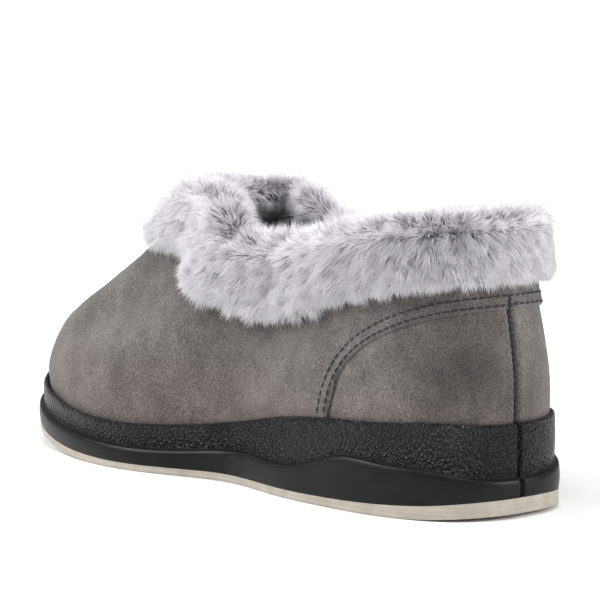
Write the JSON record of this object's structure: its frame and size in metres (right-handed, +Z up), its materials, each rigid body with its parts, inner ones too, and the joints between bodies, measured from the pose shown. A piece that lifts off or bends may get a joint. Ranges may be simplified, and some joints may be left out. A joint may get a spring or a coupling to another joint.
{
  "type": "fluffy house slipper",
  "caption": "Closed comfort slipper for a right foot, with a soft nubuck-look upper, a turned-down faux-fur collar and a moulded wedge sole.",
  "frame": {"origin": "centre of the ground outline's bounding box, on the ground", "axes": "+X to the toe, +Y to the arch (inner) side of the foot, +Z up"},
  "size_m": [0.2621, 0.0976, 0.1097],
  "materials": {
    "outsole_rubber": "matte",
    "midsole_black": "satin, grained upper band",
    "fibre_board": "matte",
    "foam": "open cell, matte",
    "faux_nubuck": "matte, mottled",
    "backing_felt": "matte",
    "stiffener_sheet": "matte",
    "fleece_lining": "short pile",
    "faux_fur": "long soft pile",
    "thread": "matte"
  },
  "bodies": {
    "root": {"outsole": "outsole_rubber", "midsole": "midsole_black", "insole_board": "fibre_board", "footbed_foam": "foam", "footbed_cover": "fleece_lining", "vamp_quarter": "faux_nubuck", "vamp_backing": "backing_felt", "heel_counter_arch_side": "faux_nubuck", "heel_counter_outer_side": "faux_nubuck", "heel_stiffener": "stiffener_sheet", "toe_puff": "stiffener_sheet", "vamp_lining": "fleece_lining", "quarter_lining": "fleece_lining", "fur_collar_arch_side": "faux_fur", "fur_collar_outer_side": "faux_fur", "counter_stitching_inner": "thread", "counter_stitching_outer": "thread", "back_seam_stitching": "thread"}
  },
  "joints": []
}
